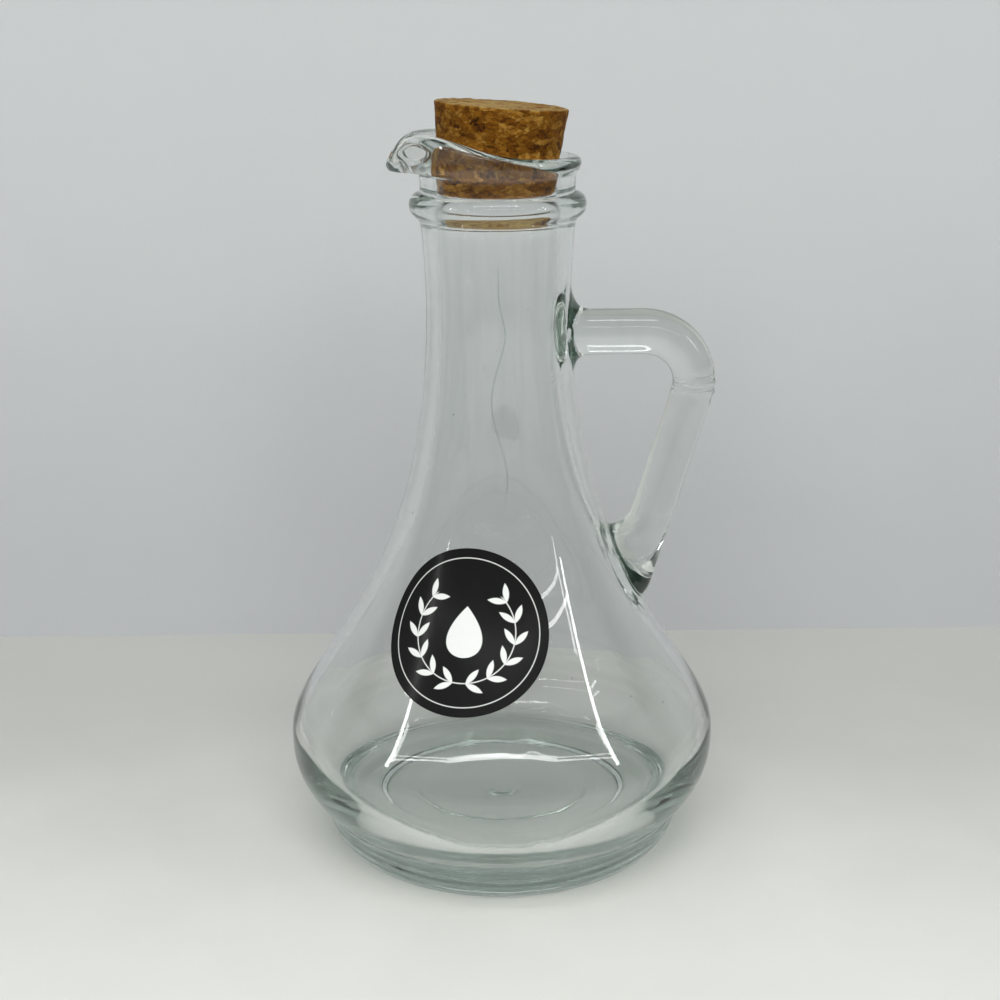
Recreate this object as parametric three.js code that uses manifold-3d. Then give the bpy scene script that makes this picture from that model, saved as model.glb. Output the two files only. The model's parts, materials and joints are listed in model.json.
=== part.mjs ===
// A glass oil bottle: a blown body with a tooled pouring lip, an applied rod handle,
// a tapered cork and a round sticker. Millimetres, +Z up, origin at the middle of the
// standing ring. The lip pours towards -X, the handle stands towards +X and the sticker
// is on the -Y side.

import * as THREE from 'three';
import { mergeVertices } from 'three/addons/utils/BufferGeometryUtils.js';
import Module from 'manifold-3d';

const wasm = await Module();
wasm.setup();

const degrees = Math.PI / 180;

// Foot and underside
const grooveRadius = 50;
const footHeight = 10.5;
const footTuck = 6.4;
const standWidth = 8;
const recessDepth = 1.6;
const markRadius = 24;
const markDepth = 0.5;

// Belly and shoulder, outside: heights are stacked from the groove upwards
const bellyRadius = 59.2;
const lowerBellyHeight = 21;
const lowerBellySlope = 43 * degrees;
const lowerBellySpring = 13.3;
const bellyTuck = 4.6;
const shoulderHeight = 119.3;
const bellySpring = 17;
const shoulderSweep = 78.4;

// Neck, collar and mouth
const mouthBoreRadius = 15.4;
const mouthWall = 4.85;
const neckWaist = 0.55;
const neckWall = 4.3;
const neckTopHeight = 22.2;
const neckTopFlare = 1.15;
const collarHeight = 7.1;
const collarCrest = 4.2;
const collarProud = 2.9;
const throatHeight = 3.2;
const lipHeight = 5.9;
const rimOverhang = 1.55;
const rimRound = 1.4;
const mouthFlare = 2.2;
const mouthFlareDepth = 4.7;

// Walls inside the belly
const bellyWall = 3.1;
const baseThickness = 10.2;
const floorInset = 7;
const floorCurl = 9;

// Pouring lip, tooled at the rim
const spoutReach = 7.1;
const spoutSpread = 21 * degrees;
const cheekRise = 6;
const cheekTurn = 30 * degrees;
const cheekSpread = 38 * degrees;
const channelDepth = 5.7;
const channelSpread = 9.5 * degrees;
const toolingDepth = 7;
const beakRootDepth = 6.4;
const beakDepth = 3.4;

// Rod handle
const rodRadius = 6.1;
const legRadius = 5.6;
const bendRadius = 13.2;
const handleInset = 1.4;
const armBelowCollar = 30.1;
const legLean = 16.7 * degrees;
const armFlare = 5;
const armSideFlare = 1;
const armFlareLength = 4.5;
const crotchFlare = 6;
const crotchFlareStart = 18;
const crotchFlareLength = 7;
const legFlare = 2.5;
const legFlareLength = 10;
const heelRound = 2.4;
const heelLength = 6;
const rootDepth = 10;

// Cork
const corkLength = 24.5;
const corkInsertion = 7;
const corkTaper = 7.15 * degrees;
const corkLean = 4.4 * degrees;
const corkEdge = 0.5;
const boreClearance = 2.5;

// Sticker
const stickerRadius = 21.9;
const stickerThickness = 0.25;
const stickerRise = 46;
const stickerTurn = -14.4 * degrees;

// Gaps between pieces that touch
const rootGap = 0.3;
const corkGap = 0.3;
const stickerGap = 0.3;

// Facets
const columns = 48;
const columnCrowding = 0.45;
const longestFacet = 7;
const fewestFacets = 4;
const rodSides = 16;
const corkSides = 36;
const stickerSides = 36;
const stickerRings = 4;

// Radii and heights that follow from the sizes above
const standOuterRadius = grooveRadius - footTuck;
const standInnerRadius = standOuterRadius - standWidth;
const floorHeight = recessDepth + markDepth + baseThickness;
const floorRadius = grooveRadius - floorInset;
const neckBoreRadius = mouthBoreRadius - neckWaist;
const neckRadius = neckBoreRadius + neckWall;
const neckTopRadius = neckRadius + neckTopFlare;
const throatRadius = mouthBoreRadius + mouthWall;
const collarRadius = throatRadius + collarProud;
const rimRadius = throatRadius + rimOverhang;
const rimInnerRadius = mouthBoreRadius + mouthFlare;
const bellyInnerRadius = bellyRadius - bellyWall;

const bellyLine = footHeight + lowerBellyHeight;
const neckLine = bellyLine + shoulderHeight;
const collarBottom = neckLine + neckTopHeight;
const collarTop = collarBottom + collarHeight;
const lipRoot = collarTop + throatHeight;
const rimTop = lipRoot + lipHeight;
const rimLine = rimTop - rimRound;
const seatHeight = rimTop - mouthFlareDepth;
const corkBottom = seatHeight - corkInsertion;

const glass = new THREE.MeshStandardMaterial({ color: 0xdfe9e4, roughness: 0.05, metalness: 0 });
const handleGlass = new THREE.MeshStandardMaterial({ color: 0xd8e4de, roughness: 0.05, metalness: 0 });
const corkBrown = new THREE.MeshStandardMaterial({ color: 0x9a6534, roughness: 0.9, metalness: 0 });
const stickerBlack = new THREE.MeshStandardMaterial({ color: 0x151515, roughness: 0.25, metalness: 0 });

/** Points along a path of lines and curves, with short curves in few facets and long ones in more. */
function tracePath(path) {
  const points = [path.getPoint(0)];
  for (const curve of path.curves) {
    const byLength = Math.ceil(curve.getLength() / longestFacet);
    const facets = curve.isLineCurve ? 1 : Math.max(fewestFacets, byLength);
    points.push(...curve.getPoints(facets).slice(1));
  }
  return points;
}

/** The curved outer wall from the groove above the foot to the collar. */
function outerWall() {
  const wall = new THREE.Path().moveTo(grooveRadius, footHeight);
  wall.bezierCurveTo(
    grooveRadius + lowerBellySpring * Math.cos(lowerBellySlope),
    footHeight + lowerBellySpring * Math.sin(lowerBellySlope),
    bellyRadius, bellyLine - bellyTuck,
    bellyRadius, bellyLine);
  wall.bezierCurveTo(
    bellyRadius, bellyLine + bellySpring,
    neckRadius, neckLine - shoulderSweep,
    neckRadius, neckLine);
  wall.quadraticCurveTo(
    neckRadius, (neckLine + collarBottom) / 2,
    neckTopRadius, collarBottom);
  return wall;
}

/** Underside and foot, from the axis out to the groove. */
function footOutline() {
  const markHeight = recessDepth + markDepth;
  const foot = new THREE.Path().moveTo(0, markHeight);
  foot.lineTo(markRadius, markHeight);
  foot.lineTo(markRadius + markDepth, recessDepth);
  foot.lineTo(standInnerRadius - recessDepth, recessDepth);
  foot.lineTo(standInnerRadius, 0);
  foot.lineTo(standOuterRadius, 0);
  foot.absellipse(standOuterRadius, footHeight, footTuck, footHeight, -Math.PI / 2, 0);
  return foot;
}

/** Collar bead, throat and rounded rim, from the neck up and over into the mouth. */
function mouthOutline() {
  const crestHeight = collarBottom + collarCrest;
  const mouth = new THREE.Path().moveTo(neckTopRadius, collarBottom);
  mouth.bezierCurveTo(
    (neckTopRadius + 3 * collarRadius) / 4, collarBottom + collarCrest / 4,
    collarRadius, crestHeight - collarCrest / 2,
    collarRadius, crestHeight);
  mouth.bezierCurveTo(
    collarRadius, (crestHeight + collarTop) / 2,
    (throatRadius + collarRadius) / 2, collarTop,
    throatRadius, collarTop);
  mouth.lineTo(throatRadius, lipRoot);
  mouth.bezierCurveTo(
    throatRadius, (lipRoot + rimLine) / 2,
    rimRadius, (lipRoot + rimLine) / 2,
    rimRadius, rimLine);
  mouth.absellipse(
    (rimRadius + rimInnerRadius) / 2, rimLine,
    (rimRadius - rimInnerRadius) / 2, rimRound, 0, Math.PI);
  mouth.bezierCurveTo(
    rimInnerRadius, (rimLine + seatHeight) / 2,
    mouthBoreRadius, (rimLine + seatHeight) / 2,
    mouthBoreRadius, seatHeight);
  return mouth;
}

/** Inside of the bottle, from the mouth's bore down to the middle of the floor. */
function innerOutline() {
  const inside = new THREE.Path().moveTo(mouthBoreRadius, seatHeight);
  inside.lineTo(mouthBoreRadius, corkBottom - boreClearance);
  inside.lineTo(neckBoreRadius, neckLine);
  inside.bezierCurveTo(
    neckBoreRadius, neckLine - shoulderSweep,
    bellyInnerRadius, bellyLine + bellySpring,
    bellyInnerRadius, bellyLine);
  inside.bezierCurveTo(
    bellyInnerRadius, bellyLine - bellyTuck,
    floorRadius + floorCurl, floorHeight,
    floorRadius, floorHeight);
  inside.lineTo(0, floorHeight);
  return inside;
}

/** A revolved solid standing on +Z, its columns of facets crowded towards the lip at -X. */
function revolve(outline) {
  const geometry = new THREE.LatheGeometry(outline, columns, -Math.PI / 2).rotateX(Math.PI / 2);
  const place = geometry.attributes.position;
  for (let i = 0; i < place.count; i++) {
    const radius = Math.hypot(place.getX(i), place.getY(i));
    const evenTurn = Math.atan2(place.getY(i), -place.getX(i));
    const turn = evenTurn - columnCrowding * Math.sin(evenTurn);
    place.setXY(i, -radius * Math.cos(turn), radius * Math.sin(turn));
  }
  return geometry;
}

/** A smooth hill of height 1 round the rim, measured from its own middle. */
function hill(turn, spread) {
  return Math.exp(-0.5 * (turn / spread) ** 2);
}

/** Draws the rim out into a beak, with raised cheeks on both sides of a pouring channel. */
function toolPouringLip(geometry) {
  const { smoothstep } = THREE.MathUtils;
  const place = geometry.attributes.position;
  for (let i = 0; i < place.count; i++) {
    const radius = Math.hypot(place.getX(i), place.getY(i));
    const turn = Math.atan2(place.getY(i), -place.getX(i));
    const height = place.getZ(i);
    const reach = spoutReach * hill(turn, spoutSpread);
    const cheeks = cheekRise * hill(Math.abs(turn) - cheekTurn, cheekSpread);
    const rise = cheeks - channelDepth * hill(turn, channelSpread);
    const outwards = radius + reach * smoothstep(height, rimTop - beakRootDepth, rimTop - beakDepth);
    const upwards = height + rise * smoothstep(height, rimTop - toolingDepth, rimTop);
    place.setXYZ(i, -outwards * Math.cos(turn), outwards * Math.sin(turn), upwards);
  }
  return geometry;
}

/** A closed rod along a path in the XZ plane, with one ring of points at each station. */
function sweepRod(path, stations, sectionAt) {
  const length = path.getLength();
  const positions = [];
  const triangles = [];
  const addPoint = (centre, heading, inwards, sideways) => positions.push(
    centre.x + heading.y * inwards, sideways, centre.y - heading.x * inwards);
  for (const station of stations) {
    const centre = path.getPoint(station / length);
    const heading = path.getTangent(station / length);
    const { depth, width, shift } = sectionAt(station);
    for (let side = 0; side < rodSides; side++) {
      const angle = 2 * Math.PI * side / rodSides;
      addPoint(centre, heading, shift + depth * Math.cos(angle), width * Math.sin(angle));
    }
  }
  for (let ring = 0; ring < stations.length - 1; ring++) {
    for (let side = 0; side < rodSides; side++) {
      const here = ring * rodSides + side;
      const next = ring * rodSides + (side + 1) % rodSides;
      triangles.push(here, next, next + rodSides);
      triangles.push(here, next + rodSides, here + rodSides);
    }
  }
  const last = (stations.length - 1) * rodSides;
  for (let side = 1; side < rodSides - 1; side++) {
    triangles.push(0, side + 1, side);
    triangles.push(last, last + side, last + side + 1);
  }
  const geometry = new THREE.BufferGeometry();
  geometry.setAttribute('position', new THREE.Float32BufferAttribute(positions, 3));
  geometry.setIndex(triangles);
  return geometry;
}

/** A closed geometry as a solid that can be cut, its shared vertices merged. */
function toSolid(geometry) {
  const bare = geometry.clone();
  bare.deleteAttribute('normal');
  bare.deleteAttribute('uv');
  const merged = mergeVertices(bare);
  const triangles = [];
  for (let i = 0; i < merged.index.count; i += 3) {
    const corners = [0, 1, 2].map((corner) => merged.index.getX(i + corner));
    if (new Set(corners).size === 3) {
      triangles.push(...corners);
    }
  }
  const vertProperties = merged.attributes.position.array;
  const triVerts = Uint32Array.from(triangles);
  return new wasm.Manifold(new wasm.Mesh({ numProp: 3, vertProperties, triVerts }));
}

/** A cut solid as geometry again. */
function toGeometry(solid) {
  const mesh = solid.getMesh();
  const geometry = new THREE.BufferGeometry();
  geometry.setAttribute('position', new THREE.Float32BufferAttribute(mesh.vertProperties, 3));
  geometry.setIndex(Array.from(mesh.triVerts));
  geometry.computeVertexNormals();
  return geometry;
}

/** Evenly spaced stations from one place on a path up to, and not with, the next. */
function stationsBetween(from, to, count) {
  return Array.from({ length: count }, (_, i) => from + (to - from) * i / count);
}

/** The wall's radius at a height, read off the facets of its outline. */
function wallRadiusAt(outline, height) {
  const above = outline.findIndex((point) => point.y >= height);
  const [low, high] = [outline[above - 1], outline[above]];
  return THREE.MathUtils.mapLinear(height, low.y, high.y, low.x, high.x);
}

/** Hollow body with its foot, collar and pouring lip. */
function makeGlassBody() {
  const outline = [footOutline(), outerWall(), mouthOutline(), innerOutline()]
    .flatMap((path, i) => tracePath(path).slice(i === 0 ? 0 : 1));
  return new THREE.Mesh(toolPouringLip(revolve(outline)), glass);
}

/** Solid glass rod from the neck, out and down to the shoulder, with its ends spread on the wall. */
function makeHandle() {
  const outline = tracePath(outerWall());
  const armHeight = collarBottom - armBelowCollar;
  const bendX = bellyRadius - handleInset - rodRadius - bendRadius;
  const neckWallX = wallRadiusAt(outline, armHeight);
  const legStart = new THREE.Vector2(
    bendX + bendRadius * Math.cos(legLean),
    armHeight - bendRadius - bendRadius * Math.sin(legLean));
  const legHeading = new THREE.Vector2(-Math.sin(legLean), -Math.cos(legLean));

  // The leg runs down its own line until it meets the shoulder
  const legStep = 0.25;
  const legEnd = legStart.clone();
  while (legEnd.x > wallRadiusAt(outline, legEnd.y)) {
    legEnd.addScaledVector(legHeading, legStep);
  }
  legEnd.addScaledVector(legHeading, rootDepth);

  const path = new THREE.Path().moveTo(neckWallX - rootDepth, armHeight);
  path.lineTo(bendX, armHeight);
  path.absarc(bendX, armHeight - bendRadius, bendRadius, Math.PI / 2, -legLean, true);
  path.lineTo(legEnd.x, legEnd.y);

  const length = path.getLength();
  const armFoot = rootDepth;
  const bendStart = rootDepth + bendX - neckWallX;
  const bendEnd = bendStart + bendRadius * (Math.PI / 2 + legLean);
  const legFoot = length - rootDepth;
  const crotch = legFoot - crotchFlareStart;

  // The rod thins round the bend, from inside. Both ends spread: the arm most up and down the neck,
  // the leg at its sides and most in the crotch, while its heel is rounded off towards the wall.
  const sectionAt = (station) => {
    const { clamp, smoothstep } = THREE.MathUtils;
    const thinning = (rodRadius - legRadius) * smoothstep(station, bendStart, bendEnd);
    const radius = rodRadius - thinning;
    const arm = clamp(1 - (station - armFoot) / armFlareLength, 0, 1) ** 2;
    const leg = legFlare * clamp(1 - (legFoot - station) / legFlareLength, 0, 1) ** 2;
    const fillet = crotchFlare * clamp((station - crotch) / crotchFlareLength, 0, 1) ** 2;
    const heel = heelRound * clamp((station - legFoot) / heelLength, 0, 1) ** 2;
    const inwards = (fillet + heel) / 2 - thinning;
    return {
      depth: radius + armFlare * arm + (fillet - heel) / 2,
      width: radius + armSideFlare * arm + leg,
      shift: inwards,
    };
  };
  const stations = [
    ...stationsBetween(0, armFoot, 1),
    ...stationsBetween(armFoot, armFoot + armFlareLength, 5),
    ...stationsBetween(armFoot + armFlareLength, bendStart, 1),
    ...stationsBetween(bendStart, bendEnd, 10),
    ...stationsBetween(bendEnd, crotch, 1),
    ...stationsBetween(crotch, crotch + crotchFlareLength, 5),
    ...stationsBetween(crotch + crotchFlareLength, legFoot, 4),
    ...stationsBetween(legFoot, legFoot + heelLength, 4),
    legFoot + heelLength,
    length,
  ];

  const wallWithGap = outline.map((point) => new THREE.Vector2(point.x + rootGap, point.y));
  const base = new THREE.Vector2(0, outline[0].y);
  const top = new THREE.Vector2(0, outline[outline.length - 1].y);
  const bottle = toSolid(revolve([base, ...wallWithGap, top]));
  const rod = toSolid(sweepRod(path, stations, sectionAt));
  return new THREE.Mesh(toGeometry(rod.subtract(bottle)), handleGlass);
}

/** Tapered cork, sized by the bore that it seats in and leaning a little towards the handle. */
function makeCork() {
  const slope = Math.tan(corkTaper);
  const seatRadius = mouthBoreRadius - corkGap;
  const bottomRadius = seatRadius - corkInsertion * slope;
  const topRadius = bottomRadius + corkLength * slope;
  const side = new THREE.Path().moveTo(0, -corkInsertion);
  side.lineTo(bottomRadius - corkEdge, -corkInsertion);
  side.lineTo(bottomRadius, corkEdge - corkInsertion);
  side.lineTo(topRadius, corkLength - corkInsertion - corkEdge);
  side.lineTo(topRadius - corkEdge, corkLength - corkInsertion);
  side.lineTo(0, corkLength - corkInsertion);
  const geometry = new THREE.LatheGeometry(tracePath(side), corkSides).rotateX(Math.PI / 2);
  const cork = new THREE.Mesh(geometry, corkBrown);

  // A leaning cone's level section is off its axis, so the cork is set back to stay central in the bore
  cork.position.set(-seatRadius * slope * Math.tan(corkLean), 0, seatHeight);
  cork.rotation.y = corkLean;
  return cork;
}

/** Round sticker, laid on the shoulder as paper lies on a cone, without stretching. */
function makeSticker() {
  const wall = outerWall();
  const [lowerBelly] = wall.curves;
  const wallLength = wall.getLength();
  const middle = lowerBelly.getLength() + stickerRise;
  const coneSlope = -wall.getTangent(middle / wallLength).x;
  const slant = wall.getPoint(middle / wallLength).x / coneSlope;

  const rings = Array.from({ length: stickerRings + 1 }, (_, i) => stickerRadius * i / stickerRings);
  const profile = [
    ...rings.map((radius) => new THREE.Vector2(radius, 0)),
    ...rings.toReversed().map((radius) => new THREE.Vector2(radius, stickerThickness)),
  ];
  const geometry = new THREE.LatheGeometry(profile, stickerSides);
  const place = geometry.attributes.position;
  for (let i = 0; i < place.count; i++) {
    const across = place.getZ(i);
    const up = place.getX(i);
    const off = stickerGap + place.getY(i);
    const fromApex = Math.hypot(across, slant - up);
    const turn = stickerTurn + Math.atan2(across, slant - up) / coneSlope;
    const along = (middle + slant - fromApex) / wallLength;
    const foot = wall.getPoint(along);
    const heading = wall.getTangent(along);
    const radius = foot.x + off * heading.y;
    place.setXYZ(i, radius * Math.sin(turn), -radius * Math.cos(turn), foot.y - off * heading.x);
  }
  return new THREE.Mesh(geometry, stickerBlack);
}

const oilBottle = new THREE.Group();
const pieces = {
  glass_body: makeGlassBody(),
  handle: makeHandle(),
  cork_stopper: makeCork(),
  label: makeSticker(),
};
for (const [name, mesh] of Object.entries(pieces)) {
  mesh.name = name;
  oilBottle.add(mesh);
}

export default oilBottle;
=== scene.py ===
"""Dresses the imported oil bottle: blown glass with an applied handle, a pressed cork and a round sticker.

Sizes are in millimetres in the classes below, and become metres when a mesh is made.
"""

import json
import logging
import math
from bisect import bisect_left
from contextlib import contextmanager
from dataclasses import dataclass, field
from enum import Enum
from typing import Any, Callable, Iterator, Self, Sequence

import bmesh
import bpy
from mathutils import Matrix, Vector
from mathutils.geometry import interpolate_bezier
from mathutils.kdtree import KDTree


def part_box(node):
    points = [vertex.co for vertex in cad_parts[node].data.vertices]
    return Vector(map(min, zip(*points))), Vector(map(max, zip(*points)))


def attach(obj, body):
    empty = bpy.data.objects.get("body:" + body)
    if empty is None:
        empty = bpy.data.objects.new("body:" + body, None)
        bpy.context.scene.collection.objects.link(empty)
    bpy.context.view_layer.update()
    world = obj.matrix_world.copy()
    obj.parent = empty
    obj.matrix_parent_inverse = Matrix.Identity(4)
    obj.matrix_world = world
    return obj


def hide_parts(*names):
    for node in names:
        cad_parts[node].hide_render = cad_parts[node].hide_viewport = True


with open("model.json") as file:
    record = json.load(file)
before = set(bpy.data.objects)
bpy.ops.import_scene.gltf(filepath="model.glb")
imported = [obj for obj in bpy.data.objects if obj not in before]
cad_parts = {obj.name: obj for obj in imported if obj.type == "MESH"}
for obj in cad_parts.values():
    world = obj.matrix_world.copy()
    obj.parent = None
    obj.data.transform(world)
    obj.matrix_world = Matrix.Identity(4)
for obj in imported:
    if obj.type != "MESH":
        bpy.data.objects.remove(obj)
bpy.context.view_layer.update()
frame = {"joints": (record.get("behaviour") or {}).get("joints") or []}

log = logging.getLogger("oil_bottle")

MM = 0.001
QUARTER_ARC = 0.5523
Colour = tuple[float, float, float]
Waves = tuple[tuple[int, float, float, float], ...]


class Body(Enum):
    """The bodies that pieces ride on."""

    BOTTLE = "bottle"
    STOPPER = "stopper"


class Slot(Enum):
    """The finishes that the record names."""

    GLASS = "clear_glass"
    CORK = "cork"
    FILM = "label_film"


def pick(piece: bpy.types.Object) -> None:
    """Makes one piece the only selected and active object."""
    bpy.ops.object.select_all(action="DESELECT")
    piece.select_set(True)
    bpy.context.view_layer.objects.active = piece


@contextmanager
def editing(piece: bpy.types.Object) -> Iterator[None]:
    """Edit mode on one piece, and object mode again afterwards."""
    pick(piece)
    bpy.ops.object.mode_set(mode="EDIT")
    yield
    bpy.ops.object.mode_set(mode="OBJECT")


def new_piece(name: str, add: Callable[..., Any], **sizes: Any) -> bpy.types.Object:
    """Adds a primitive as the start of a piece.

    Args:
        name: The piece's name.
        add: The operator that adds the primitive.
        sizes: The operator's own settings.

    Returns:
        The new object, selected and active.
    """
    bpy.ops.object.select_all(action="DESELECT")
    add(**sizes)
    piece = bpy.context.view_layer.objects.active
    piece.name = name
    piece.data.name = name
    return piece


def select_vertices(piece: bpy.types.Object, test: Callable[[Vector], bool]) -> None:
    """Selects a piece's vertices by their place, in edit mode.

    Args:
        piece: The piece in edit mode.
        test: Says whether a vertex at a place is selected.
    """
    mesh = bmesh.from_edit_mesh(piece.data)
    for vertex in mesh.verts:
        vertex.select_set(test(vertex.co))
    mesh.select_flush_mode()
    bmesh.update_edit_mesh(piece.data)


def move_vertices(piece: bpy.types.Object, move: Callable[[Vector], Vector]) -> None:
    """Moves every vertex of a piece by a rule that works in millimetres.

    Args:
        piece: The piece, in object mode.
        move: Gives the new place of a vertex from its old one.
    """
    for vertex in piece.data.vertices:
        vertex.co = move(vertex.co / MM) * MM
    piece.data.update()


def apply_modifier(piece: bpy.types.Object, kind: str, **settings: Any) -> None:
    """Adds one modifier to a piece and applies it.

    Args:
        piece: The piece.
        kind: The modifier's type.
        settings: The modifier's own settings.
    """
    pick(piece)
    modifier = piece.modifiers.new(kind.lower(), kind)
    for name, value in settings.items():
        setattr(modifier, name, value)
    bpy.ops.object.modifier_apply(modifier=modifier.name)


def face_outwards() -> None:
    """Turns all faces of the piece in edit mode outwards."""
    bpy.ops.mesh.select_all(action="SELECT")
    bpy.ops.mesh.normals_make_consistent(inside=False)


def divide_disc(radius: float, rings: int) -> None:
    """Divides the selected round face into rings of faces about its middle, in edit mode.

    Args:
        radius: The face's radius.
        rings: How many rings lie around the middle.
    """
    for _ in range(rings):
        bpy.ops.mesh.inset(thickness=radius / (rings + 1))
    bpy.ops.mesh.poke()


def polish(piece: bpy.types.Object, angle: float, material: bpy.types.Material) -> None:
    """Shades a piece smoothly except over its sharp edges, and gives it its material.

    Args:
        piece: The piece, in object mode.
        angle: The sharpest angle that still looks smooth.
        material: The piece's material.
    """
    pick(piece)
    bpy.ops.object.shade_smooth_by_angle(angle=angle)
    piece.data.materials.append(material)


def smoothstep(value: float, low: float, high: float) -> float:
    """A smooth rise from 0 at low to 1 at high."""
    share = min(max((value - low) / (high - low), 0.0), 1.0)
    return share * share * (3.0 - 2.0 * share)


def hill(distance: float, spread: float) -> float:
    """A smooth hill of height 1, by the distance from its middle."""
    return math.exp(-0.5 * (distance / spread) ** 2)


class Outline:
    """A profile in the plane of radius and height, drawn in runs of evenly spaced points."""

    def __init__(self, radius: float, height: float) -> None:
        """Starts the profile at one point."""
        self.points: list[Vector] = [Vector((radius, height))]

    def line(self, radius: float, height: float, spacing: float) -> Self:
        """Draws a straight run to a point.

        Args:
            radius: The end's distance from the axis.
            height: The end's height.
            spacing: The most that the points lie apart.

        Returns:
            The outline itself.
        """
        start = self.points[-1]
        end = Vector((radius, height))
        count = max(1, math.ceil((end - start).length / spacing))
        self.points += [start.lerp(end, step / count) for step in range(1, count + 1)]
        return self

    def curve(self, first: Sequence[float], second: Sequence[float], end: Sequence[float],
              spacing: float) -> Self:
        """Draws a curve with two handles to a point.

        Args:
            first: The handle at the start.
            second: The handle at the end.
            end: The end.
            spacing: About how far apart the points lie.

        Returns:
            The outline itself.
        """
        knots = [self.points[-1], Vector(first), Vector(second), Vector(end)]
        legs = sum((b - a).length for a, b in zip(knots, knots[1:]))
        count = max(4, round(legs / spacing))
        self.points += interpolate_bezier(*knots, count + 1)[1:]
        return self

    def soften(self, passes: int) -> Self:
        """Eases the corners, as a flame does on glass.

        Args:
            passes: How often each point moves towards its neighbours.

        Returns:
            The outline itself.
        """
        for _ in range(passes):
            inner = [(a + 2 * b + c) / 4
                     for a, b, c in zip(self.points, self.points[1:], self.points[2:])]
            self.points = [self.points[0], *inner, self.points[-1]]
        return self


@dataclass(frozen=True)
class BottleSizes:
    """Sizes of the blown glass, with heights stacked from the table upwards."""

    groove_radius: float = 50.0
    foot_height: float = 10.5
    foot_tuck: float = 6.4
    stand_width: float = 8.0
    recess_depth: float = 1.6
    mark_radius: float = 24.0
    mark_depth: float = -0.5
    pontil_radius: float = 7.0
    pontil_depth: float = -0.6
    belly_radius: float = field(default_factory=lambda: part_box("glass_body")[1].x / MM)
    lower_belly_height: float = 21.0
    lower_belly_slope: float = math.radians(43.0)
    lower_belly_spring: float = 13.3
    belly_tuck: float = 4.6
    shoulder_height: float = 119.3
    belly_spring: float = 17.0
    shoulder_sweep: float = 78.4
    mouth_bore_radius: float = 15.4
    mouth_wall: float = 4.85
    neck_waist: float = 0.55
    neck_wall: float = 4.3
    neck_top_height: float = 22.2
    neck_top_flare: float = 1.15
    collar_height: float = 7.1
    collar_crest: float = 4.2
    collar_proud: float = 2.9
    throat_height: float = 3.2
    lip_height: float = 5.9
    rim_overhang: float = 1.55
    rim_round: float = 1.4
    rim_inner: float = 2.4
    mouth_lean: float = 0.25
    mouth_spring: float = 1.8
    mouth_flare_depth: float = 4.7
    belly_wall: float = 3.1
    base_thickness: float = 11.2
    floor_inset: float = 7.0
    floor_curl: float = 4.5
    inner_tuck: float = 8.0
    waist_below_seat: float = 9.5

    @property
    def belly_line(self) -> float:
        """Height of the widest line."""
        return self.foot_height + self.lower_belly_height

    @property
    def neck_line(self) -> float:
        """Height of the neck's narrowest line."""
        return self.belly_line + self.shoulder_height

    @property
    def collar_bottom(self) -> float:
        """Height of the seam under the collar."""
        return self.neck_line + self.neck_top_height

    @property
    def lip_root(self) -> float:
        """Height where the lip starts to turn out."""
        return self.collar_bottom + self.collar_height + self.throat_height

    @property
    def rim_top(self) -> float:
        """Height of the rim, away from the pouring lip."""
        return self.lip_root + self.lip_height

    @property
    def seat_height(self) -> float:
        """Height where the cork meets the bore."""
        return self.rim_top - self.mouth_flare_depth

    @property
    def neck_radius(self) -> float:
        """Outer radius of the neck's narrowest line."""
        return self.mouth_bore_radius - self.neck_waist + self.neck_wall

    def lower_belly(self, outline: Outline, spacing: float) -> None:
        """Draws the outside from the groove above the foot up to the widest line.

        Args:
            outline: An outline that ends at the groove.
            spacing: About how far apart the points lie.
        """
        spring = self.lower_belly_spring
        outline.curve(
            (self.groove_radius + spring * math.cos(self.lower_belly_slope),
             self.foot_height + spring * math.sin(self.lower_belly_slope)),
            (self.belly_radius, self.belly_line - self.belly_tuck),
            (self.belly_radius, self.belly_line), spacing)

    def shoulder(self, outline: Outline, spacing: float) -> None:
        """Draws the outside from the widest line up to the collar.

        Args:
            outline: An outline that ends at the widest line.
            spacing: About how far apart the points lie.
        """
        outline.curve(
            (self.belly_radius, self.belly_line + self.belly_spring),
            (self.neck_radius, self.neck_line - self.shoulder_sweep),
            (self.neck_radius, self.neck_line), spacing)
        third = self.neck_top_height / 3
        outline.curve(
            (self.neck_radius, self.neck_line + third),
            (self.neck_radius + self.neck_top_flare / 3, self.collar_bottom - third),
            (self.neck_radius + self.neck_top_flare, self.collar_bottom), spacing)

    def profile(self) -> list[Vector]:
        """Draws the whole section, from the middle of the underside over the rim to the floor's middle.

        Returns:
            The section's points, as radius and height.
        """
        coarse, fine = 1.7, 0.55
        mark = self.recess_depth + self.mark_depth
        stand_outer = self.groove_radius - self.foot_tuck
        stand_inner = stand_outer - self.stand_width
        outline = Outline(0.0, mark + self.pontil_depth)
        outline.curve((self.pontil_radius / 2, mark + self.pontil_depth),
                      (self.pontil_radius / 2, mark), (self.pontil_radius, mark), fine)
        outline.line(self.mark_radius, mark, coarse)
        outline.line(self.mark_radius - self.mark_depth, self.recess_depth, fine)
        outline.line(stand_inner - self.recess_depth, self.recess_depth, coarse)
        outline.line(stand_inner, 0.0, fine).line(stand_outer, 0.0, coarse)
        outline.curve((stand_outer + self.foot_tuck * QUARTER_ARC, 0.0),
                      (self.groove_radius, self.foot_height * (1 - QUARTER_ARC)),
                      (self.groove_radius, self.foot_height), fine)
        self.lower_belly(outline, coarse)
        self.shoulder(outline, coarse)
        self.mouth(outline, fine)
        self.inside(outline, coarse)
        return outline.soften(2).points

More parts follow.
